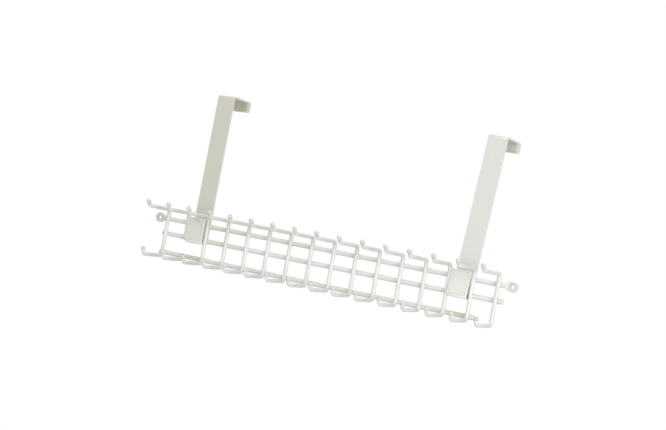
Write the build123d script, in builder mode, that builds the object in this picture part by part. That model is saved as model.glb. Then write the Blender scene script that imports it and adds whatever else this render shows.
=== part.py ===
# Over door tie rack in coated steel wire, sizes in millimetres.
#
# Sixteen hook wires stand in front of three rails and are welded to each of them.
# Two flat straps hang over the top of a door and fold forward and up at the bottom,
# so that the rack sits in the two folds.
#
# X runs along the rails, Y goes back towards the door, Z is up.
# The origin is in the middle of the rack, on the door's front face at its top edge.

from build123d import *
from math import asin, cos, isclose, radians, sin
import os

os.makedirs("parts", exist_ok=True)

# Hook wires
hook_count = 16
hook_pitch = 31.75
wire_diameter = 5.0
wire_end_rounding = 2.0

# Upper row of hooks, measured along the rack from the top rail's axis
upper_hook_rise = 12.4
upper_arm_reach = 42.0
upper_arm_climb = 1.3
upper_tip_reach = 4.9
upper_tip_rise = 5.6
upper_bend_radius = 4.0

# Lower row of hooks, measured from the bottom rail's axis
lower_hook_drop = 4.4
lower_arm_reach = 38.5
lower_arm_dip = 0.5
lower_tip_reach = 3.0
lower_tip_rise = 9.0
lower_bend_radius = 4.4
lower_corner_radius = 6.0

# One wire is broken away between the middle and the bottom rail
broken_hook = 2
broken_end = 3.0

# Rails
rail_diameter = 5.9
rail_end_rounding = 1.6
rail_overhang = 8.1
middle_rail_drop = 19.05
bottom_rail_drop = 43.5
bottom_rail_last_hook = 15
weld_sink = 0.45

# Flattened eyes at the ends of the top rail, punched for screws
eye_offset = 16.6
eye_diameter = 13.0
eye_hole_diameter = 4.8
eye_thickness = 2.2
eye_flare_length = 9.0
eye_root_offset = 5.2
eye_root_width = 10.9
eye_root_thickness = 2.1

# Straps over the door, which splay a little outwards towards their tops
strap_thickness = 2.0
strap_splay = 1.6
strap_side_gap = 0.19
strap_cells_from_end = 2
strap_drop = 168.0
strap_bend_radius = 1.8
strap_corner_radius = 2.0
door_slot = 35.8
lip_length = 11.8
plate_rise = 7.9
plate_play = 2.9

# Clearances where the rack sits in the straps and stands off the door
seat_clearance = 0.15
door_clearance = 0.6

# Worked out from the sizes above
wire_radius = wire_diameter / 2
rail_radius = rail_diameter / 2
half_row = (hook_count - 1) * hook_pitch / 2
wire_offset = rail_radius + wire_radius - weld_sink

# The middle rail rests on the straps and the bottom rail hangs back towards the door,
# so the rack leans forward at the top
middle_rail_y = -strap_thickness - seat_clearance - rail_radius
bottom_rail_y = -door_clearance - rail_radius
lean = asin((bottom_rail_y - middle_rail_y) / (bottom_rail_drop - middle_rail_drop))
rack_up = Vector(0, -sin(lean), cos(lean))
rack_forward = Vector(0, -cos(lean), -sin(lean))
top_rail_point = Vector(0, middle_rail_y - middle_rail_drop * sin(lean), -strap_drop)
fold_gap = rail_diameter + 2 * seat_clearance + middle_rail_drop * sin(lean) + plate_play


def rack_point(x, forward, up):
    """Give the place of a point that is forward of and above the top rail's axis."""
    return top_rail_point + Vector(x, 0, 0) + rack_forward * forward + rack_up * up


def rack_section(x):
    """Give the plane across the rails at x, with forward as its X and up as its Y."""
    return Plane(origin=rack_point(x, 0, 0), x_dir=rack_forward, z_dir=(-1, 0, 0))


def hook_x(number):
    """Give the X of a hook wire, counted from 1 at the left."""
    return (number - 1) * hook_pitch - half_row


# Upper and lower ends of a hook wire, as points across the rack
upper_arm_height = upper_hook_rise + upper_arm_climb
upper_hook_points = [
    (wire_offset + upper_arm_reach + upper_tip_reach, upper_arm_height + upper_tip_rise),
    (wire_offset + upper_arm_reach, upper_arm_height),
    (wire_offset, upper_hook_rise),
]
lower_bend_height = -bottom_rail_drop - lower_hook_drop
lower_arm_height = lower_bend_height - lower_arm_dip
lower_hook_points = [
    (wire_offset, lower_bend_height),
    (wire_offset + lower_arm_reach, lower_arm_height),
    (wire_offset + lower_arm_reach + lower_tip_reach, lower_arm_height + lower_tip_rise),
]
upper_radii = [upper_bend_radius, upper_bend_radius]
lower_radii = [lower_bend_radius, lower_corner_radius]


def make_wire(label, x, points, radii, rail_drops):
    """Bend one wire along its points and seat it on each rail that it crosses."""
    section = rack_section(x)
    with BuildPart() as wire:
        with BuildLine(section) as route:
            FilletPolyline(*points, radius=radii)
        start = route.line @ 0
        finish = route.line @ 1
        with BuildSketch(Plane(origin=start, z_dir=route.line % 0)):
            Circle(wire_radius)
        sweep(path=route.line)
        for end in (start, finish):
            end_face = wire.faces().sort_by_distance(end)[0]
            fillet(end_face.edges(), radius=wire_end_rounding)
        for drop in rail_drops:
            with BuildSketch(section.offset(-wire_diameter)):
                with Locations((0, -drop)):
                    Circle(rail_radius)
            extrude(amount=2 * wire_diameter, mode=Mode.SUBTRACT)
    wire.part.label = label
    export_step(wire.part, f"parts/{label}.step")


# Hook wires
for number in range(1, hook_count + 1):
    label = f"hook_wire_{number:02d}"
    x = hook_x(number)
    upper_drops = [0, middle_rail_drop]
    lower_drops = [bottom_rail_drop] if number <= bottom_rail_last_hook else []
    if number == broken_hook:
        upper_break = [(wire_offset, -middle_rail_drop - broken_end)]
        lower_break = [(wire_offset, -bottom_rail_drop + broken_end)]
        make_wire(label, x, upper_hook_points + upper_break, upper_radii, upper_drops)
        make_wire(label + "_lower", x, lower_break + lower_hook_points, lower_radii, lower_drops)
    else:
        points = upper_hook_points + lower_hook_points
        make_wire(label, x, points, upper_radii + lower_radii, upper_drops + lower_drops)

# Top rail, drawn out flat at both ends into an eye
flare_x = half_row + eye_offset - eye_flare_length
eye_x = half_row + eye_offset
flare_end_x = eye_x - eye_root_offset
with BuildPart() as top_rail:
    with BuildSketch(rack_section(-flare_x)):
        Circle(rail_radius)
    extrude(amount=-2 * flare_x)
    for side in (-1, 1):
        with BuildSketch(rack_section(side * flare_x)):
            Circle(rail_radius)
        with BuildSketch(rack_section(side * flare_end_x)):
            Ellipse(eye_root_thickness / 2, eye_root_width / 2)
        loft()
        eye_centre = rack_point(side * eye_x, 0, 0)
        eye_plane = Plane(origin=eye_centre, x_dir=(1, 0, 0), z_dir=rack_forward)
        with BuildSketch(eye_plane):
            Circle(eye_diameter / 2)
        extrude(amount=eye_thickness / 2, both=True)
        with BuildSketch(eye_plane):
            Circle(eye_hole_diameter / 2)
        extrude(amount=eye_thickness, both=True, mode=Mode.SUBTRACT)
top_rail.part.label = "top_rail"
export_step(top_rail.part, "parts/top_rail.step")

# Middle rail, a plain bar that stands out past the end hooks
with BuildPart() as middle_rail:
    with BuildSketch(rack_section(-half_row - rail_overhang)):
        with Locations((0, -middle_rail_drop)):
            Circle(rail_radius)
    extrude(amount=-2 * (half_row + rail_overhang))
    fillet(middle_rail.edges().filter_by(GeomType.CIRCLE), radius=rail_end_rounding)
middle_rail.part.label = "middle_rail"
export_step(middle_rail.part, "parts/middle_rail.step")

# Bottom rail, which stops short of the last hook
bottom_rail_end = hook_x(bottom_rail_last_hook) + rail_overhang
with BuildPart() as bottom_rail:
    with BuildSketch(rack_section(-half_row - rail_overhang)):
        with Locations((0, -bottom_rail_drop)):
            Circle(rail_radius)
    extrude(amount=-(bottom_rail_end + half_row + rail_overhang))
    fillet(bottom_rail.edges().filter_by(GeomType.CIRCLE), radius=rail_end_rounding)
bottom_rail.part.label = "bottom_rail"
export_step(bottom_rail.part, "parts/bottom_rail.step")

# Each strap is centred between two hook wires halfway down its front plate.
# It is lifted until the lower edge of its tilted flange is level with the door's top.
splay_rise = sin(radians(strap_splay))
splay_run = cos(radians(strap_splay))
strap_centre = half_row - (strap_cells_from_end - 0.5) * hook_pitch
centred_depth = strap_drop + middle_rail_drop / 2
plate_swing = (middle_rail_drop / 2 + plate_rise) * splay_rise
strap_width = hook_pitch - wire_diameter - 2 * (strap_side_gap + plate_swing)
flange_tilt = strap_width / 2 * splay_rise
strap_top_x = strap_centre + centred_depth * splay_rise

# Door straps, each bent from one flat strip
half_sheet = strap_thickness / 2
lip_y = door_slot + half_sheet
plate_y = -strap_thickness - fold_gap - half_sheet
middle_rail_z = (top_rail_point - rack_up * middle_rail_drop).Z
fold_floor_z = middle_rail_z - rail_radius - seat_clearance - flange_tilt
fold_height = (fold_floor_z - flange_tilt) / splay_run - half_sheet
plate_height = -strap_drop + plate_rise
strap_points = [
    (lip_y, -lip_length),
    (lip_y, half_sheet),
    (-half_sheet, half_sheet),
    (-half_sheet, fold_height),
    (plate_y, fold_height),
    (plate_y, plate_height),
]
for name, side in (("left_door_strap", -1), ("right_door_strap", 1)):
    strap_plane = Plane(
        origin=(side * strap_top_x, 0, flange_tilt),
        x_dir=(0, 1, 0),
        z_dir=(splay_run, 0, -side * splay_rise),
    )
    with BuildPart() as strap:
        with BuildLine(strap_plane) as bend_line:
            FilletPolyline(*strap_points, radius=strap_bend_radius + half_sheet)
        strip_start = bend_line.line @ 0
        strip_run = bend_line.line % 0
        strip_end = Plane(origin=strip_start, x_dir=strap_plane.z_dir, z_dir=strip_run)
        with BuildSketch(strip_end):
            Rectangle(strap_width, strap_thickness)
        sweep(path=bend_line.line)
        corners = strap.edges().filter_by(lambda edge: isclose(edge.length, strap_thickness))
        fillet(corners, radius=strap_corner_radius)
    strap.part.label = name
    export_step(strap.part, f"parts/{name}.step")
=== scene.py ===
"""Looks of the over door tie rack: coated wires and straps, weld beads, floor, lamps and camera.

Every length is in metres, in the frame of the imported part: X along the rails, Y back towards the
door and Z up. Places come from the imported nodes, so they follow the part when it changes.
"""

import logging
import math
import random
from dataclasses import dataclass
from enum import Enum
from functools import cache, cached_property
from typing import Callable, Mapping, Optional, Sequence, Union

import bmesh
import bpy
from mathutils import Matrix, Vector


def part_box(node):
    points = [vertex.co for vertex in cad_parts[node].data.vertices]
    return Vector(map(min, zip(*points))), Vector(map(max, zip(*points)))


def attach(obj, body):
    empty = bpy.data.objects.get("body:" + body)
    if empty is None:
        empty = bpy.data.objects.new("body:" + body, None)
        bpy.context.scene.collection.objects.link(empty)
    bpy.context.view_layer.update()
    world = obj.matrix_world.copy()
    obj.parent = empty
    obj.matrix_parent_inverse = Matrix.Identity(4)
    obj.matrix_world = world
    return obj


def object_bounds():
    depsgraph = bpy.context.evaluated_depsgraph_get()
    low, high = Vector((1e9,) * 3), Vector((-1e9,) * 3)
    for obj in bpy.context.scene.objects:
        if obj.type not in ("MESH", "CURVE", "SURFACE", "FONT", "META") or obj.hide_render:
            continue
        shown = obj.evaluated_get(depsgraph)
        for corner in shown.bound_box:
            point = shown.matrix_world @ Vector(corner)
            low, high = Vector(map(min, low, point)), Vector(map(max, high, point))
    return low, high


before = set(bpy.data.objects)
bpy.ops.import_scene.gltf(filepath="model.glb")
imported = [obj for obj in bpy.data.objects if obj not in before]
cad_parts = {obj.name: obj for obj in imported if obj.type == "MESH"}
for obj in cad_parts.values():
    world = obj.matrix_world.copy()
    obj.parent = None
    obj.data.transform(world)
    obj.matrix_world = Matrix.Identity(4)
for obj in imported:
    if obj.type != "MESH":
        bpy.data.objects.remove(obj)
CAD_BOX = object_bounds()

LOG = logging.getLogger("tie_rack")
BODY = "root"
MM = 0.001
ALONG_RAILS = Vector((1.0, 0.0, 0.0))
WHITE = (1.0, 1.0, 1.0, 1.0)

Colour = tuple[float, float, float]
Place = tuple[float, float, float]
# Where a smooth rise starts and where it ends, which may be lower for a fall
Rise = tuple[float, float]


class Rail(Enum):
    """Rails of the rack, from the top down."""

    TOP = "top_rail"
    MIDDLE = "middle_rail"
    BOTTOM = "bottom_rail"


class Mark(Enum):
    """What a wire or rail shows besides its plain coating."""

    NONE = "plain"
    STAIN = "stained below the straps"
    EYES = "rubbed round the screw holes"
    BREAK_BELOW = "broken at its lower end"
    BREAK_ABOVE = "broken at its upper end"


class Row(Enum):
    """Rows of hooks, with the parts forward and up of the direction that each tip points in."""

    UPPER = (4.9, 5.6)
    LOWER = (3.0, 9.0)


# How far the bead on each row's tips stands out past the end of the wire
TIP_LENGTHS = {Row.UPPER: 2.8 * MM, Row.LOWER: 0.7 * MM}


class Side(Enum):
    """The two door straps, with the sign of the side of the rack that each is on."""

    LEFT = -1
    RIGHT = 1

    @property
    def node(self) -> str:
        """Name of the strap's node."""
        return f"{self.name.lower()}_door_strap"


def shade(red: int, green: int, blue: int) -> Colour:
    """Turn a colour as seen on a screen, 0 to 255, into the linear values that shaders use.

    Args:
        red: Red part.
        green: Green part.
        blue: Blue part.

    Returns:
        The three linear values.
    """

    def linear(part: int) -> float:
        """Undo the screen curve for one part."""
        value = part / 255
        return value / 12.92 if value <= 0.04045 else ((value + 0.055) / 1.055) ** 2.4

    return linear(red), linear(green), linear(blue)


def even(number: float) -> Place:
    """Give the same number along X, Y and Z."""
    return number, number, number


# Shader maths


@dataclass(frozen=True)
class Speckle:
    """A noise: its blotches in a metre along X, Y and Z, its finer detail and its offset."""

    per_metre: Place
    detail: float
    offset: float


class Value:
    """A number that a shader works out, usable in Python sums."""

    def __init__(self, shader: "Shader", socket: bpy.types.NodeSocket) -> None:
        """Keep the shader and the socket that gives the number."""
        self.shader = shader
        self.socket = socket

    def __add__(self, other: "Number") -> "Value":
        """Give self plus other."""
        return self.shader.maths("ADD", self, other)

    def __radd__(self, other: "Number") -> "Value":
        """Give other plus self."""
        return self.shader.maths("ADD", other, self)

    def __sub__(self, other: "Number") -> "Value":
        """Give self less other."""
        return self.shader.maths("SUBTRACT", self, other)

    def __rsub__(self, other: "Number") -> "Value":
        """Give other less self."""
        return self.shader.maths("SUBTRACT", other, self)

    def __mul__(self, other: "Number") -> "Value":
        """Give self times other."""
        return self.shader.maths("MULTIPLY", self, other)

    def __rmul__(self, other: "Number") -> "Value":
        """Give other times self."""
        return self.shader.maths("MULTIPLY", other, self)

    def __abs__(self) -> "Value":
        """Give the size of self without its sign."""
        return self.shader.maths("ABSOLUTE", self)


Number = Union[float, Value]
Tone = Union[Colour, Value]


class Shader:
    """The nodes of a material or of the world while they are put together."""

    MIX_FACTOR, MIX_FIRST, MIX_SECOND, MIX_RESULT = 0, 6, 7, 2

    def __init__(self, owner: Union[bpy.types.Material, bpy.types.World]) -> None:
        """Start with no nodes.

        Args:
            owner: The new material or world.
        """
        owner.use_nodes = True
        self.owner = owner
        self.tree = owner.node_tree
        self.tree.nodes.clear()

    def node(
        self,
        kind: str,
        settings: Mapping[str, object],
        inputs: Mapping[Union[str, int], object],
        output: Union[str, int] = 0,
    ) -> Value:
        """Add a node, with its settings first and then its sockets.

        Args:
            kind: Blender's name of the node's type.
            settings: Properties of the node.
            inputs: Plain values or links for its sockets.
            output: The socket that is wanted from it.

        Returns:
            The wanted output.
        """
        made = self.tree.nodes.new(kind)
        for key, setting in settings.items():
            setattr(made, key, setting)
        for key, given in inputs.items():
            socket = made.inputs[key]
            if isinstance(given, Value):
                self.tree.links.new(given.socket, socket)
            else:
                socket.default_value = given
        return Value(self, made.outputs[output] if made.outputs else None)

    def maths(self, operation: str, *numbers: Number, clamp: bool = False) -> Value:
        """Add a Math node.

        Args:
            operation: What it does.
            numbers: The numbers it works on.
            clamp: Whether the result is kept between 0 and 1.

        Returns:
            Its result.
        """
        settings = {"operation": operation, "use_clamp": clamp}
        return self.node("ShaderNodeMath", settings, dict(enumerate(numbers)))

    def blend(self, share: Number, first: Tone, second: Tone) -> Value:
        """Mix two colours.

        Args:
            share: Share of the second colour.
            first: The first colour.
            second: The second colour.

        Returns:
            The mixed colour.
        """
        colours = {
            key: (*tone, 1.0) if isinstance(tone, tuple) else tone
            for key, tone in ((self.MIX_FIRST, first), (self.MIX_SECOND, second))
        }
        settings = {"data_type": "RGBA", "blend_type": "MIX", "clamp_factor": True}
        inputs = {self.MIX_FACTOR: share, **colours}
        return self.node("ShaderNodeMix", settings, inputs, self.MIX_RESULT)

    def place(self) -> Value:
        """Give the place on the object, in metres."""
        return self.node("ShaderNodeTexCoord", {}, {}, "Object")

    def parts(self, vector: Value) -> tuple[Value, Value, Value]:
        """Take a vector apart.

        Args:
            vector: The vector.

        Returns:
            Its X, Y and Z.
        """
        split = self.node("ShaderNodeSeparateXYZ", {}, {"Vector": vector}, "X")
        outputs = split.socket.node.outputs
        return split, Value(self, outputs["Y"]), Value(self, outputs["Z"])

    def length(self, vector: Value) -> Value:
        """Give the length of a vector."""
        return self.node("ShaderNodeVectorMath", {"operation": "LENGTH"}, {0: vector}, "Value")

    def noise(self, speckle: Speckle) -> Value:
        """Give a noise from 0 to 1.

        Args:
            speckle: How coarse and fine it is.

        Returns:
            The noise.
        """
        stretched = self.node(
            "ShaderNodeVectorMath",
            {"operation": "MULTIPLY_ADD"},
            {0: self.place(), 1: speckle.per_metre, 2: even(speckle.offset)},
        )
        inputs = {"Vector": stretched, "Scale": 1.0, "Detail": speckle.detail}
        return self.node("ShaderNodeTexNoise", {"noise_dimensions": "3D"}, inputs, "Fac")

    def step(self, value: Number, rise: Rise) -> Value:
        """Give 0 before a rise and 1 after it, with a smooth change between.

        Args:
            value: The value that is tested.
            rise: Where the change starts and ends.

        Returns:
            The smooth step.
        """
        start, end = rise
        inputs = {"Value": value, "From Min": start, "From Max": end}
        settings = {"interpolation_type": "SMOOTHSTEP", "clamp": True}
        return self.node("ShaderNodeMapRange", settings, inputs, "Result")

    def patches(self, speckle: Speckle, rise: Rise) -> Value:
        """Give 1 on the peaks of a noise and 0 elsewhere, by where the rise between them lies."""
        return self.step(self.noise(speckle), rise)

    def bump(self, height: Value, strength: float, depth: float) -> Value:
        """Turn a height from 0 to 1 into a surface direction.

        Args:
            height: The height.
            strength: Share of the bump that shows.
            depth: What a height of 1 stands for, in metres.

        Returns:
            The direction for a Normal socket.
        """
        inputs = {"Strength": strength, "Distance": depth, "Height": height}
        return self.node("ShaderNodeBump", {}, inputs, "Normal")

    def not_lit(self) -> Value:
        """Tell the rays that see the background straight on, in gloss or through glass.

        Returns:
            1 for those rays and 0 for the ones that light the object.
        """
        seen = [
            self.node("ShaderNodeLightPath", {}, {}, ray)
            for ray in ("Is Camera Ray", "Is Glossy Ray", "Is Transmission Ray")
        ]
        return self.maths("ADD", seen[0] + seen[1], seen[2], clamp=True)


def new_material(name: str) -> Shader:
    """Start a material with the given name."""
    return Shader(bpy.data.materials.new(name))


def close_material(shader: Shader, surface: Value) -> bpy.types.Material:
    """Join a surface to the material's output and give the material."""
    shader.node("ShaderNodeOutputMaterial", {}, {"Surface": surface})
    return shader.owner


# Finishes


@dataclass(frozen=True)
class Skin:
    """How a coating shines and how much its texture stands out, the same all over."""

    gloss: float
    gloss_roughness: float
    bump_strength: float
    bump_depth: float


@dataclass
class Coat:
    """A coating's colour, roughness and bare metal while wear is added to them."""

    shader: Shader
    colour: Value
    rough: Number
    metal: Number = 0.0

    def tint(self, share: Number, tone: Tone) -> None:
        """Mix a share of another colour into the coating."""
        self.colour = self.shader.blend(share, self.colour, tone)

    def close(self, skin: Skin, height: Value) -> bpy.types.Material:
        """Close the material with this coating as its surface.

        Args:
            skin: Its shine and how much its texture stands out.
            height: The texture.

        Returns:
            The material.
        """
        surface = self.shader.node(
            "ShaderNodeBsdfPrincipled",
            {},
            {
                "Base Color": self.colour,
                "Roughness": self.rough,
                "Metallic": self.metal,
                "Coat Weight": skin.gloss,
                "Coat Roughness": skin.gloss_roughness,
                "Normal": self.shader.bump(height, skin.bump_strength, skin.bump_depth),
            },
        )
        return close_material(self.shader, surface)


@dataclass(frozen=True)
class CoatedWire:
    """Off-white coating baked onto steel wire, a little yellowed and rubbed by ties."""

    name: str = "coated wire"
    skin: Skin = Skin(
        gloss=0.25, gloss_roughness=0.18, bump_strength=0.5, bump_depth=0.35 * MM
    )
    clean: Colour = shade(225, 226, 222)
    roughness: float = 0.36

    # Yellowing, in soft blotches
    yellowed: Colour = shade(217, 217, 207)
    blotches: Speckle = Speckle((11.0, 40.0, 26.0), 3.0, 1.7)
    blotch_roughness: float = 0.08
    ageing: Rise = (0.4, 0.7)

    # Rubbing by ties, by how far behind the hooks' tips it is, in streaks
    rubbed: Colour = shade(208, 208, 200)
    rub_share: float = 0.35
    rub_roughness: float = 0.16
    rub_reach: Rise = (36.3 * MM, 22.3 * MM)
    rub_streaks: Rise = (0.48, 0.66)
    streaks: Speckle = Speckle((420.0, 60.0, 300.0), 2.0, 8.3)

    # Nibs of dirt in the coating
    nib: Colour = shade(182, 177, 161)
    nib_share: float = 0.3
    nibs: Speckle = Speckle(even(520.0), 0.0, 12.9)
    nib_peaks: Rise = (0.74, 0.79)

    # Orange peel
    waves: Speckle = Speckle(even(160.0), 1.0, 21.3)
    wave_height: float = 0.7
    grain: Speckle = Speckle(even(900.0), 1.0, 4.1)
    grain_height: float = 0.16
    nib_height: float = 0.2

    # Stains on the bottom rail, by how far from the middle of a strap
    stain: Colour = shade(205, 197, 160)
    stain_share: float = 0.35
    stain_streaks: float = 0.4
    stain_spread: Rise = (15 * MM, 7.5 * MM)
    stain_raggedness: float = 6 * MM

    # Wear round the screw holes, by how far from a hole's middle
    thin_share: float = 0.7
    thin_coat: Rise = (7.5 * MM, 4.4 * MM)
    turned_share: float = 0.5
    turned: Rise = (4.4 * MM, 3.08 * MM)
    turned_raggedness: float = 1 * MM
    turned_polish: float = 0.08

    # Bare steel at a broken end, by how far from that end
    steel: Colour = shade(138, 134, 128)
    steel_shine: float = 0.9
    rust: Colour = shade(121, 84, 58)
    rusting: Speckle = Speckle(even(1100.0), 2.0, 2.2)
    rust_patches: Rise = (0.42, 0.6)
    bare_reach: Rise = (0.7 * MM, 0.2 * MM)
    bare_roughness: float = 0.2
    ragged: Speckle = Speckle(even(700.0), 2.0, 31.7)
    ragged_depth: float = 0.8 * MM

    def make(self, front: float, mark: Mark, spot: Vector) -> bpy.types.Material:
        """Build the material.

        Args:
            front: Y of the hooks' tips.
            mark: What shows besides the plain coating.
            spot: Where that is: the broken end, or the middle of the right strap or eye.

        Returns:
            The material.
        """
        shader = new_material(f"{self.name}, {mark.value}")
        x, y, z = shader.parts(shader.place())
        blotch = shader.noise(self.blotches)
        streak = shader.noise(self.streaks)
        rub = shader.step(y - front, self.rub_reach) * shader.step(streak, self.rub_streaks)
        nibs = shader.patches(self.nibs, self.nib_peaks)
        colour = shader.blend(shader.step(blotch, self.ageing), self.clean, self.yellowed)
        rough = self.roughness + rub * self.rub_roughness + blotch * self.blotch_roughness
        coat = Coat(shader, colour, rough)
        coat.tint(rub * self.rub_share, self.rubbed)
        coat.tint(nibs * self.nib_share, self.nib)
        if mark is Mark.STAIN:
            self._stain(coat, abs(x) - spot.x, streak)
        elif mark is Mark.EYES:
            self._wear_eyes(coat, abs(x) - spot.x, z - spot.z, streak)
        elif mark is Mark.BREAK_BELOW:
            self._break(coat, z - spot.z)
        elif mark is Mark.BREAK_ABOVE:
            self._break(coat, spot.z - z)
        wave = shader.noise(self.waves) * self.wave_height
        grain = shader.noise(self.grain) * self.grain_height
        return coat.close(self.skin, wave + grain + nibs * self.nib_height)

    def _stain(self, coat: Coat, beside: Value, streak: Value) -> None:
        """Stain the bottom rail below the straps.

        Args:
            coat: The coating.
            beside: How far outwards from the middle of a strap.
            streak: The coating's streaks.
        """
        spread = abs(beside) + (streak - 0.5) * self.stain_raggedness
        stained = coat.shader.step(spread, self.stain_spread)
        coat.tint(stained * (self.stain_share + streak * self.stain_streaks), self.stain)

    def _wear_eyes(self, coat: Coat, beside: Value, above: Value, streak: Value) -> None:
        """Thin the coating of the eyes and show steel where a screw's head turned.

        Args:
            coat: The coating.
            beside: How far outwards from the middle of a hole.
            above: How far above the middle of a hole.
            streak: The coating's streaks.
        """
        shader = coat.shader
        away = shader.length(shader.node("ShaderNodeCombineXYZ", {}, {"X": beside, "Y": above}))
        thin = shader.step(away, self.thin_coat)
        turned = shader.step(away + (streak - 0.5) * self.turned_raggedness, self.turned)
        coat.tint(thin * self.thin_share, self.rubbed)
        coat.tint(turned * streak * self.turned_share, self.steel)
        coat.rough = coat.rough - turned * self.turned_polish

    def _break(self, coat: Coat, inward: Value) -> None:
        """Show ragged bare steel with a little rust at a broken end.

        Args:
            coat: The coating.
            inward: How far into the wire from that end.
        """
        shader = coat.shader
        ragged = shader.noise(self.ragged) * self.ragged_depth
        bare = shader.step(inward - ragged, self.bare_reach)
        rusty = shader.patches(self.rusting, self.rust_patches)
        coat.tint(bare, shader.blend(rusty, self.steel, self.rust))
        coat.metal = bare * (1.0 - rusty) * self.steel_shine
        coat.rough = coat.rough + bare * self.bare_roughness


@dataclass(frozen=True)
class StrapShape:
    """Where one strap stands, as its finish needs it.

    The corners of its box are low and high. Its middle line moves along X by lean for each metre
    up, its front plate ends at the height plate_top, and marked is true if that plate has the
    tan mark.
    """

    low: Vector
    high: Vector
    lean: float
    half_width: float
    plate_top: float
    marked: bool


@dataclass(frozen=True)
class CoatedStrap:
    """Off-white coating baked onto flat steel strip, scuffed by the door, with painted light and
    shade.
    """

    name: str = "coated strap"
    skin: Skin = Skin(
        gloss=0.2, gloss_roughness=0.22, bump_strength=0.45, bump_depth=0.3 * MM
    )
    clean: Colour = shade(215, 216, 210)
    roughness: float = 0.42

    # Yellowing, more towards the left end of the rack
    yellowed: Colour = shade(204, 205, 191)
    ageing: Rise = (120 * MM, -120 * MM)
    blotches: Speckle = Speckle((30.0, 40.0, 16.0), 3.0, 5.5)
    blotch_share: float = 0.3

    # Painted highlight along the strip's edges, by how far in from them
    edge_highlight: Colour = shade(226, 226, 216)
    edge_highlight_share: float = 0.5
    edge_highlight_band: Rise = (1.1 * MM, 0.0)

    # Fine scratches and the patches that they lie in
    scuff: Colour = shade(204, 204, 196)
    scuff_share: float = 0.3
    scratches: Speckle = Speckle((1300.0, 1300.0, 22.0), 2.0, 9.7)
    scratch_lines: Rise = (0.63, 0.7)
    scratch_roughness: float = 0.05
    rubs: Speckle = Speckle((90.0, 90.0, 60.0), 3.0, 15.1)
    rub_patches: Rise = (0.52, 0.68)
    rub_roughness: float = 0.1

    # Nibs of dirt in the coating
    nib: Colour = shade(186, 182, 168)
    nib_share: float = 0.16
    nibs: Speckle = Speckle(even(420.0), 0.0, 27.4)
    nib_peaks: Rise = (0.76, 0.8)

    # Orange peel
    waves: Speckle = Speckle(even(75.0), 1.0, 17.9)
    wave_height: float = 0.8
    grain: Speckle = Speckle(even(700.0), 1.0, 3.3)
    grain_height: float = 0.14
    nib_height: float = 0.2
    scratch_depth: float = 0.05

    # Painted light making the front plate whiter than the strip, by how far behind its face
    plate_light: Colour = shade(238, 238, 233)
    plate_light_share: float = 0.42
    plate_reach: Rise = (6.3 * MM, 3.3 * MM)

    # Painted highlight on the plate's rounded rim with a dark line inside it, by how far in from
    # the plate's edges.
    # The lower edge is taken where the fold's curve ends, fold_rise above the fold's underside.
    rim: Colour = shade(246, 247, 242)
    rim_highlight_share: float = 0.7
    rim_highlight_band: Rise = (1.7 * MM, 0.85 * MM)
    line_share: float = 0.3
    line_band: Rise = (3.23 * MM, 2.21 * MM)
    fold_rise: float = 2.2 * MM

    # Tan mark near the plate's upper edge
    mark: Colour = shade(200, 178, 158)
    mark_share: float = 0.4
    mark_half_width: Rise = (8 * MM, 5.6 * MM)
    mark_raggedness: float = 2 * MM
    mark_start: Rise = (1.7 * MM, 2.72 * MM)
    mark_end: Rise = (6.5 * MM, 4.55 * MM)

    # Grime and painted shade under the flange and inside the lip, with painted light in a band
    # along the right-hand edge
    grime_and_shade: Colour = shade(182, 175, 150)
    grime_and_shade_share: float = 0.6
    grime_and_shade_reach: Rise = (22.8 * MM, 3.8 * MM)
    grime_and_shade_depth: Rise = (1.1 * MM, 1.8 * MM)
    lip_inside: Rise = (0.7 * MM, 1.5 * MM)
    smudges: Speckle = Speckle(even(260.0), 2.0, 33.9)
    smudge_patches: Rise = (0.38, 0.6)
    lit_end_share: float = 0.4
    lit_end_band: Rise = (5.5 * MM, 3.3 * MM)

    def make(self, shape: StrapShape) -> bpy.types.Material:
        """Build the material for one strap.

        Args:
            shape: Where the strap stands.

        Returns:
            The material.
        """
        shader = new_material(self.name)
        x, y, z = shader.parts(shader.place())
        centre = (shape.low + shape.high) / 2
        to_right = x - centre.x - (z - centre.z) * shape.lean
        blotch = shader.noise(self.blotches)
        aged = shader.step(x, self.ageing) + (blotch - 0.5) * self.blotch_share
        scratch = shader.patches(self.scratches, self.scratch_lines)
        rubbed = shader.patches(self.rubs, self.rub_patches)
        nibs = shader.patches(self.nibs, self.nib_peaks)
        rough = self.roughness + rubbed * self.rub_roughness + scratch * self.scratch_roughness
        coat = Coat(shader, shader.blend(aged, self.clean, self.yellowed), rough)
        front = shader.step(y - shape.low.y, self.plate_reach)
        # Painted light: the front plate is made whiter than the rest of the strip
        coat.tint(front * self.plate_light_share, self.plate_light)
        # Painted highlight along both edges of the strip
        edge_highlight = shader.step(shape.half_width - abs(to_right), self.edge_highlight_band)
        coat.tint(edge_highlight * self.edge_highlight_share, self.edge_highlight)
        if shape.marked:
            across = abs(to_right) + blotch * self.mark_raggedness
            self._mark(coat, front, across, shape.plate_top - z)
        self._rim_highlight(coat, front, to_right, z, shape)
        coat.tint(rubbed * scratch * self.scuff_share, self.scuff)
        self._soil_and_shade(coat, to_right, y, z, shape)
        coat.tint(nibs * self.nib_share, self.nib)
        wave = shader.noise(self.waves) * self.wave_height
        grain = shader.noise(self.grain) * self.grain_height
        scored = scratch * rubbed * self.scratch_depth
        return coat.close(self.skin, wave + grain + nibs * self.nib_height - scored)

    def _mark(self, coat: Coat, front: Value, across: Value, below: Value) -> None:
        """Put the tan mark on the front plate.

        Args:
            coat: The coating.
            front: 1 on the front plate.
            across: How far to either side of the strip's middle, with ragged ends.
            below: How far below the plate's upper edge.
        """
        shader = coat.shader
        wide = shader.step(across, self.mark_half_width)
        tall = shader.step(below, self.mark_start) * shader.step(below, self.mark_end)
        coat.tint(front * wide * tall * self.mark_share, self.mark)

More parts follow.
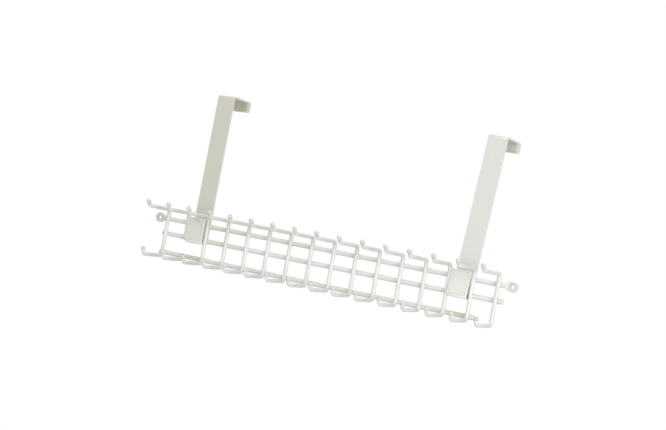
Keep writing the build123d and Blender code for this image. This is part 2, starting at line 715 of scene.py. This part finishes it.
    def _rim_highlight(
        self, coat: Coat, front: Value, to_right: Value, z: Value, shape: StrapShape
    ) -> None:
        """Paint a highlight on the front plate's rim and draw the dark line inside it.

        Args:
            coat: The coating.
            front: 1 on the front plate.
            to_right: How far right of the strip's middle.
            z: Height.
            shape: Where the strap stands.
        """
        shader = coat.shader
        foot = shape.low.z + self.fold_rise
        upright = shader.maths("MINIMUM", shape.plate_top - z, z - foot)
        inside = shader.maths("MINIMUM", shape.half_width - abs(to_right), upright)
        # Painted highlight round the plate's rounded rim
        rim = shader.step(inside, self.rim_highlight_band)
        line = shader.step(inside, self.line_band) * (1.0 - rim)
        coat.tint(front * line * self.line_share, self.nib)
        coat.tint(front * rim * self.rim_highlight_share, self.rim)

    def _soil_and_shade(
        self, coat: Coat, to_right: Value, y: Value, z: Value, shape: StrapShape
    ) -> None:
        """Smudge the underside of the flange and the inside of the lip with grime and painted
        shade, and paint light along the right-hand edge.

        Args:
            coat: The coating.
            to_right: How far right of the strip's middle.
            y: Place from front to back.
            z: Height.
            shape: Where the strap stands.
        """
        shader = coat.shader
        ahead = shape.high.y - y
        under = shader.step(shape.high.z - z, self.grime_and_shade_depth)
        within = shader.step(ahead, self.lip_inside)
        behind = shader.step(ahead, self.grime_and_shade_reach) * under * within
        smudge = shader.patches(self.smudges, self.smudge_patches)
        lit_end = shader.step(shape.half_width - to_right, self.lit_end_band)
        # Grime and painted shade inside the lip, and painted light on its right-hand end where
        # light passes the strap
        coat.tint(behind * smudge * (1.0 - lit_end) * self.grime_and_shade_share, self.grime_and_shade)
        coat.tint(behind * lit_end * self.lit_end_share, self.rim)


@dataclass(frozen=True)
class PooledCoat:
    """The wire's coating where it runs together thickly round a weld or on a tip."""

    name: str = "pooled coat"
    clean: Colour = shade(227, 227, 222)
    pooled: Colour = shade(215, 214, 203)
    skin: Skin = Skin(gloss=0.3, gloss_roughness=0.14, bump_strength=0.5, bump_depth=0.3 * MM)
    roughness: float = 0.3
    blotches: Speckle = Speckle(even(180.0), 2.0, 6.6)
    blotch_roughness: float = 0.12
    blotch_height: float = 0.6
    pooling: Rise = (0.4, 0.7)
    pits: Speckle = Speckle(even(1200.0), 2.0, 14.2)
    pit_height: float = 0.2

    def make(self) -> bpy.types.Material:
        """Build the material.

        Returns:
            The material.
        """
        shader = new_material(self.name)
        blotch = shader.noise(self.blotches)
        pooled = shader.step(blotch, self.pooling)
        rough = self.roughness + blotch * self.blotch_roughness
        coat = Coat(shader, shader.blend(pooled, self.clean, self.pooled), rough)
        pits = shader.noise(self.pits) * self.pit_height
        return coat.close(self.skin, blotch * self.blotch_height + pits)


@dataclass(frozen=True)
class PaleFloor:
    """Plain pale floor that shows the object's shadow and fades to white further out."""

    name: str = "pale floor"
    colour: Colour = shade(222, 223, 224)
    grain_colour: Colour = shade(212, 212, 212)
    grain: Speckle = Speckle(even(14.0), 3.0, 0.4)
    grain_share: float = 0.08
    lift: float = 0.3
    fade: Rise = (0.4, 0.8)

    def make(self) -> bpy.types.Material:
        """Build the material.

        Returns:
            The material.
        """
        shader = new_material(self.name)
        away = shader.step(shader.length(shader.place()), self.fade)
        share = shader.noise(self.grain) * self.grain_share
        colour = shader.blend(share, self.colour, self.grain_colour)
        lit = shader.node("ShaderNodeBsdfDiffuse", {}, {"Color": colour})
        white = shader.node("ShaderNodeEmission", {}, {"Color": WHITE, "Strength": 1.0})
        seen = shader.not_lit() * (self.lift + away * (1 - self.lift))
        surface = shader.node("ShaderNodeMixShader", {}, {0: seen, 1: lit, 2: white})
        return close_material(shader, surface)


# The object


def paint(piece: bpy.types.Object, material: bpy.types.Material) -> None:
    """Give every material slot of a piece the same material.

    Args:
        piece: The piece.
        material: The material.
    """
    slots = piece.data.materials
    if not slots:
        slots.append(material)
    for index in range(len(slots)):
        slots[index] = material


@cache
def box_of(node: str) -> tuple[Vector, Vector]:
    """Give a node's lowest and highest corners."""
    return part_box(node)


def middle(node: str) -> Vector:
    """Give the middle of a node's box."""
    low, high = box_of(node)
    return (low + high) / 2


def add_spool(mesh: bmesh.types.BMesh, rings: Sequence[Sequence[Vector]]) -> None:
    """Add a closed form through rings of points.

    Args:
        mesh: The mesh that it is added to.
        rings: Rings with the same number of points each, from one end to the other.
    """
    rows = [[mesh.verts.new(point) for point in ring] for ring in rings]
    around = len(rows[0])
    for lower, upper in zip(rows, rows[1:]):
        for step in range(around):
            after = (step + 1) % around
            mesh.faces.new((lower[step], lower[after], upper[after], upper[step]))
    mesh.faces.new(reversed(rows[0]))
    mesh.faces.new(rows[-1])


def finish_piece(
    mesh: bmesh.types.BMesh, name: str, material: bpy.types.Material
) -> bpy.types.Object:
    """Make a piece of the rack from a mesh, dress it and fix it to the rack.

    Args:
        mesh: The mesh, which is used up.
        name: The piece's name.
        material: Its finish.

    Returns:
        The piece.
    """
    bmesh.ops.recalc_face_normals(mesh, faces=mesh.faces)
    for face in mesh.faces:
        face.smooth = True
    data = bpy.data.meshes.new(name)
    mesh.to_mesh(data)
    mesh.free()
    piece = bpy.data.objects.new(name, data)
    bpy.context.scene.collection.objects.link(piece)
    paint(piece, material)
    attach(piece, BODY)
    LOG.info("built %s with %d faces", name, len(data.polygons))
    return piece


@dataclass
class Rack:
    """Hook wires welded to the front of three rails."""

    weld_sink: float = 0.45 * MM
    broken_wire: str = "hook_wire_02"
    arm_clearance: float = 20 * MM
    flat_end: float = 0.02 * MM

    @cached_property
    def wires(self) -> list[str]:
        """Names of the nodes of the hook wires, broken pieces too."""
        return sorted(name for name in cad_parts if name.startswith("hook_wire"))

    @cached_property
    def wire_radius(self) -> float:
        """Radius of the hook wires."""
        low, high = box_of(self.wires[0])
        return (high.x - low.x) / 2

    @cached_property
    def rail_radius(self) -> float:
        """Radius of the rails."""
        low, high = box_of(Rail.MIDDLE.value)
        return (high.y - low.y) / 2

    @cached_property
    def up(self) -> Vector:
        """Direction up the rack, from the bottom rail to the top rail."""
        rise = middle(Rail.TOP.value) - middle(Rail.BOTTOM.value)
        return Vector((0.0, rise.y, rise.z)).normalized()

    @cached_property
    def forward(self) -> Vector:
        """Direction out of the rack, away from the door."""
        return self.up.cross(ALONG_RAILS).normalized() * -1.0

    def crossings(self, rail: Rail) -> list[Vector]:
        """Find where hook wires cross a rail.

        Args:
            rail: The rail.

        Returns:
            The point on the rail's axis behind each wire.
        """
        low, high = box_of(rail.value)
        axis = middle(rail.value)
        found = []
        for name in self.wires:
            wire_low, wire_high = box_of(name)
            x = middle(name).x
            if low.x < x < high.x and wire_low.z < axis.z < wire_high.z:
                found.append(Vector((x, axis.y, axis.z)))
        return found

    def tip_end(self, wire: str, row: Row) -> Optional[tuple[Vector, Vector]]:
        """Find the end of a hook's tip.

        Args:
            wire: Name of the wire's node.
            row: The row that the tip is in.

        Returns:
            The middle of the end and the direction that it faces, or None if the wire has no tip.
        """
        ahead, rise = row.value
        along = (self.forward * ahead + self.up * rise).normalized()
        start = middle(Rail.TOP.value)
        points = []
        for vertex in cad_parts[wire].data.vertices:
            offset = vertex.co - start
            in_row = (offset.dot(self.up) > 0) == (row is Row.UPPER)
            if in_row and offset.dot(self.forward) > self.arm_clearance:
                points.append(vertex.co)
        if not points:
            return None
        furthest = max(point.dot(along) for point in points)
        flat = [point for point in points if point.dot(along) > furthest - self.flat_end]
        return sum(flat, Vector()) / len(flat), along

    def dress(self, finish: CoatedWire) -> None:
        """Give the wires and rails their finish.

        Args:
            finish: The coated wire.
        """
        front = box_of(self.wires[0])[0].y
        lower_piece = f"{self.broken_wire}_lower"
        low, high = box_of(Rail.TOP.value)
        eye = Vector((high.x - (high.z - low.z) / 2, 0.0, (low.z + high.z) / 2))
        marks = {
            self.broken_wire: (Mark.BREAK_BELOW, box_of(self.broken_wire)[0]),
            lower_piece: (Mark.BREAK_ABOVE, box_of(lower_piece)[1]),
            Rail.BOTTOM.value: (Mark.STAIN, middle(Side.RIGHT.node)),
            Rail.TOP.value: (Mark.EYES, eye),
        }
        whole = finish.make(front, Mark.NONE, Vector())
        special = {name: finish.make(front, *marked) for name, marked in marks.items()}
        for name in self.wires + [rail.value for rail in Rail]:
            paint(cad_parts[name], special.get(name, whole))
            LOG.info("dressed %s", name)


@dataclass
class WeldBeads:
    """Collars of weld and coating that fill the corners between the hook wires and a rail.

    Each pair of sizes is a half width along the rail and a half height up the wire.
    """

    rack: Rack
    rail: Rail
    around: int = 28
    along: int = 6
    rail_foot: tuple[float, float] = (3.3 * MM, 2.7 * MM)
    wire_foot: tuple[float, float] = (2.35 * MM, 3.3 * MM)
    waist: tuple[float, float] = (2.3 * MM, 2.3 * MM)
    bury: float = 0.25 * MM
    unevenness: float = 0.07
    lobes: int = 2

    def _wobble(self, draw: random.Random) -> Callable[[float], float]:
        """Draw the unevenness of one bead.

        Args:
            draw: The random numbers.

        Returns:
            Size of the bead by the angle around it.
        """
        phase = draw.uniform(0, 2 * math.pi)
        swell = draw.uniform(-self.unevenness, self.unevenness)

        def size_at(angle: float) -> float:
            """Give the bead's size at an angle around it."""
            return 1 + swell + self.unevenness * math.sin(self.lobes * angle + phase)

        return size_at

    def _ring(self, share: float, size_at: Callable[[float], float]) -> list[Vector]:
        """Give one ring of points around a bead, in rack directions.

        Args:
            share: 0 on the rail, 1 on the wire.
            size_at: Size of the bead by the angle around it.

        Returns:
            The ring's points, as along the rail, up and forward.
        """
        rack = self.rack
        wire_axis = rack.rail_radius + rack.wire_radius - rack.weld_sink
        rest = 1 - share
        ring = []
        for step in range(self.around):
            angle = 2 * math.pi * step / self.around
            size = size_at(angle)
            cos, sin = math.cos(angle), math.sin(angle)
            rail_x, rail_up = self.rail_foot[0] * size * cos, self.rail_foot[1] * sin
            wire_x, wire_up = self.wire_foot[0] * cos, self.wire_foot[1] * size * sin
            rail_front = math.sqrt(rack.rail_radius**2 - rail_up**2)
            wire_back = wire_axis - math.sqrt(rack.wire_radius**2 - wire_x**2)
            foot = Vector((rail_x, rail_up, rail_front - self.bury))
            head = Vector((wire_x, wire_up, wire_back + self.bury))
            pinch = (foot + head) / 2
            pinch.x, pinch.y = self.waist[0] * size * cos, self.waist[1] * size * sin
            ring.append(foot * rest**2 + pinch * (2 * share * rest) + head * share**2)
        return ring

    def build(self, seed: int, material: bpy.types.Material) -> bpy.types.Object:
        """Build the beads of one rail as one piece.

        Args:
            seed: Start of the random unevenness.
            material: Their finish.

        Returns:
            The piece.
        """
        draw = random.Random(seed)
        turn = Matrix((ALONG_RAILS, self.rack.up, self.rack.forward)).transposed()
        mesh = bmesh.new()
        for crossing in self.rack.crossings(self.rail):
            size_at = self._wobble(draw)
            rings = [self._ring(step / self.along, size_at) for step in range(self.along + 1)]
            add_spool(mesh, [[crossing + turn @ point for point in ring] for ring in rings])
        return finish_piece(mesh, f"weld_beads_{self.rail.name.lower()}", material)


@dataclass
class TipBeads:
    """Thick round beads of coating on the ends of one row of hooks.

    The rises are steps along a bead's sleeve: the share of the way, and the share of the swell.
    """

    rack: Rack
    row: Row
    length: float
    around: int = 20
    unevenness: float = 0.07
    sleeve: float = 3.8 * MM
    swell: float = 0.36 * MM
    rises: tuple[tuple[float, float], ...] = ((0, -0.5), (0.05, 0.05), (0.35, 0.3), (0.7, 0.8))
    dome_depth: float = 0.8
    dome_steps: int = 7

    def outline(self, length: float) -> list[tuple[float, float]]:
        """Give a bead's outline from inside the wire to its round end.

        Args:
            length: How far it stands out past the end of the wire.

        Returns:
            Distance past the wire's end and radius, step by step.
        """
        wire = self.rack.wire_radius
        widest = wire + self.swell
        dome = widest * self.dome_depth
        shoulder = length - dome
        steps = [
            ((shoulder + self.sleeve) * share - self.sleeve, wire + self.swell * rise)
            for share, rise in self.rises
        ]
        for step in range(self.dome_steps):
            angle = math.pi / 2 * step / self.dome_steps
            steps.append((shoulder + dome * math.sin(angle), widest * math.cos(angle)))
        return steps

    def build(self, seed: int, material: bpy.types.Material) -> bpy.types.Object:
        """Build the beads of one row as one piece.

        Args:
            seed: Start of the random unevenness.
            material: Their finish.

        Returns:
            The piece.
        """
        draw = random.Random(seed)
        mesh = bmesh.new()
        for wire in self.rack.wires:
            tip = self.rack.tip_end(wire, self.row)
            if tip is None:
                continue
            end, along = tip
            beside = along.cross(ALONG_RAILS)
            longer = self.length * (1 + draw.uniform(-self.unevenness, self.unevenness))
            rings = []
            for reach, radius in self.outline(longer):
                ring = []
                for step in range(self.around):
                    angle = 2 * math.pi * step / self.around
                    spoke = ALONG_RAILS * math.cos(angle) + beside * math.sin(angle)
                    ring.append(end + along * reach + spoke * radius)
                rings.append(ring)
            add_spool(mesh, rings)
        return finish_piece(mesh, f"tip_beads_{self.row.name.lower()}", material)


@dataclass
class DoorStrap:
    """Flat strap that hangs over the door and carries the rack in its fold."""

    side: Side
    width: float = 25.4 * MM
    plate_behind: float = 6.3 * MM
    seam_gap: float = 0.01 * MM
    edge_rounding: float = 0.7 * MM
    edge_steps: int = 3
    edge_angle: float = math.radians(50)

    def shape(self) -> StrapShape:
        """Work out where the strap stands.

        Returns:
            Its place, and a tan mark for the left strap alone.
        """
        low, high = box_of(self.side.node)
        size = high - low
        lean = self.side.value * (size.x - self.width) / size.z
        plate_back = low.y + self.plate_behind
        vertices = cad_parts[self.side.node].data.vertices
        plate_top = max(vertex.co.z for vertex in vertices if vertex.co.y < plate_back)
        return StrapShape(low, high, lean, self.width / 2, plate_top, self.side is Side.LEFT)

    def dress(self, finish: CoatedStrap) -> None:
        """Round the strap's edges and give it its finish.

        Args:
            finish: The coated strap.
        """
        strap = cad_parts[self.side.node]
        paint(strap, finish.make(self.shape()))
        weld = strap.modifiers.new("join_seams", "WELD")
        weld.merge_threshold = self.seam_gap
        soften = strap.modifiers.new("soft_edges", "BEVEL")
        soften.width = self.edge_rounding
        soften.segments = self.edge_steps
        soften.limit_method = "ANGLE"
        soften.angle_limit = self.edge_angle
        soften.harden_normals = True
        LOG.info("dressed %s", self.side.node)


# The studio


@dataclass(frozen=True)
class Lamp:
    """One soft square lamp that looks at the rack."""

    name: str
    place: Place
    size: float
    watts: float

    def build(self, target: Vector) -> None:
        """Hang the lamp and turn it to a point.

        Args:
            target: The point.
        """
        data = bpy.data.lights.new(self.name, "AREA")
        data.shape = "SQUARE"
        data.size = self.size
        data.energy = self.watts
        lamp = bpy.data.objects.new(self.name, data)
        lamp.location = self.place
        lamp.rotation_euler = (target - lamp.location).to_track_quat("-Z", "Y").to_euler()
        bpy.context.scene.collection.objects.link(lamp)
        LOG.info("hung %s", self.name)


@dataclass
class Studio:
    """Pale floor, soft lamps and a white surround.

    The key lamp lights the front and the fill lamp the right-hand side. The small top lamp draws
    the shadow on the floor, and the back lamp keeps the side towards the door from going dark.
    """

    floor_drop: float = 0.35
    floor_radius: float = 1.5
    floor_sides: int = 96
    ambient: float = 0.5
    target: Place = (0.0, 0.0, -0.13)
    lamps: tuple[Lamp, ...] = (
        Lamp("key_lamp", (0.25, -2.2, 0.4), 1.3, 10.8),
        Lamp("fill_lamp", (1.9, -1.2, -0.1), 1.0, 24.0),
        Lamp("top_lamp", (-0.2, -0.3, 1.7), 0.45, 8.0),
        Lamp("back_lamp", (-0.7, 2.1, 0.3), 1.4, 7.0),
    )

    def build(self) -> None:
        """Build the floor, the lamps and the surround."""
        self._floor()
        for lamp in self.lamps:
            lamp.build(Vector(self.target))
        self._surround()

    def _floor(self) -> None:
        """Lay a round floor a little below the object."""
        mesh = bmesh.new()
        sides, radius = self.floor_sides, self.floor_radius
        bmesh.ops.create_circle(mesh, cap_ends=True, segments=sides, radius=radius)
        data = bpy.data.meshes.new("floor")
        mesh.to_mesh(data)
        mesh.free()
        floor = bpy.data.objects.new("floor", data)
        floor.location.z = CAD_BOX[0][2] - self.floor_drop
        bpy.context.scene.collection.objects.link(floor)
        paint(floor, PaleFloor().make())
        LOG.info("laid the floor")

    def _surround(self) -> None:
        """Make the world white where it is seen and softer where it lights."""
        world = bpy.data.worlds.new("surround")
        bpy.context.scene.world = world
        shader = Shader(world)
        lit, seen = (
            shader.node("ShaderNodeBackground", {}, {"Color": WHITE, "Strength": strength})
            for strength in (self.ambient, 1.0)
        )
        mixed = shader.node("ShaderNodeMixShader", {}, {0: shader.not_lit(), 1: lit, 2: seen})
        shader.node("ShaderNodeOutputWorld", {}, {"Surface": mixed})
        LOG.info("set the surround")


@dataclass(frozen=True)
class ViewingCamera:
    """Camera at the photograph's viewing angle, fitted to the rails, wires and straps."""

    place: Place = (1.0201, -1.6967, -0.2133)
    azimuth: float = math.radians(31.09)
    elevation: float = math.radians(-2.58)
    roll: float = math.radians(12.066)
    focal_length: float = 87.57
    sensor_width: float = 36.0

    def build(self) -> None:
        """Create the camera and make it the scene's own."""
        level = math.cos(self.elevation)
        ahead = Vector(
            (
                -math.sin(self.azimuth) * level,
                math.cos(self.azimuth) * level,
                -math.sin(self.elevation),
            )
        )
        right = Vector((math.cos(self.azimuth), math.sin(self.azimuth), 0.0))
        up = right.cross(ahead)
        rolled_right = right * math.cos(self.roll) + up * math.sin(self.roll)
        rolled_up = up * math.cos(self.roll) - right * math.sin(self.roll)
        data = bpy.data.cameras.new("viewing_camera")
        data.lens = self.focal_length
        data.sensor_fit = "HORIZONTAL"
        data.sensor_width = self.sensor_width
        camera = bpy.data.objects.new("viewing_camera", data)
        turn = Matrix((rolled_right, rolled_up, -ahead)).transposed().to_4x4()
        camera.matrix_world = Matrix.Translation(self.place) @ turn
        bpy.context.scene.collection.objects.link(camera)
        bpy.context.scene.camera = camera
        LOG.info("set the camera")


def main() -> None:
    """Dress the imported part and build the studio."""
    logging.basicConfig(level=logging.INFO, format="%(message)s")
    bpy.context.scene.view_settings.view_transform = "Standard"
    rack = Rack()
    rack.dress(CoatedWire())
    pooled = PooledCoat().make()
    # Darker coat on the hooks' tip beads is painted shade
    shaded_tip_coat = PooledCoat("shaded tip bead", shade(214, 214, 208), shade(199, 199, 190)).make()
    for seed, rail in enumerate(Rail):
        WeldBeads(rack, rail).build(seed, pooled)
    for seed, (row, length) in enumerate(TIP_LENGTHS.items()):
        TipBeads(rack, row, length).build(seed, shaded_tip_coat)
    strap_finish = CoatedStrap()
    for side in Side:
        DoorStrap(side).dress(strap_finish)
    Studio().build()
    ViewingCamera().build()


if __name__ == "__main__":
    main()
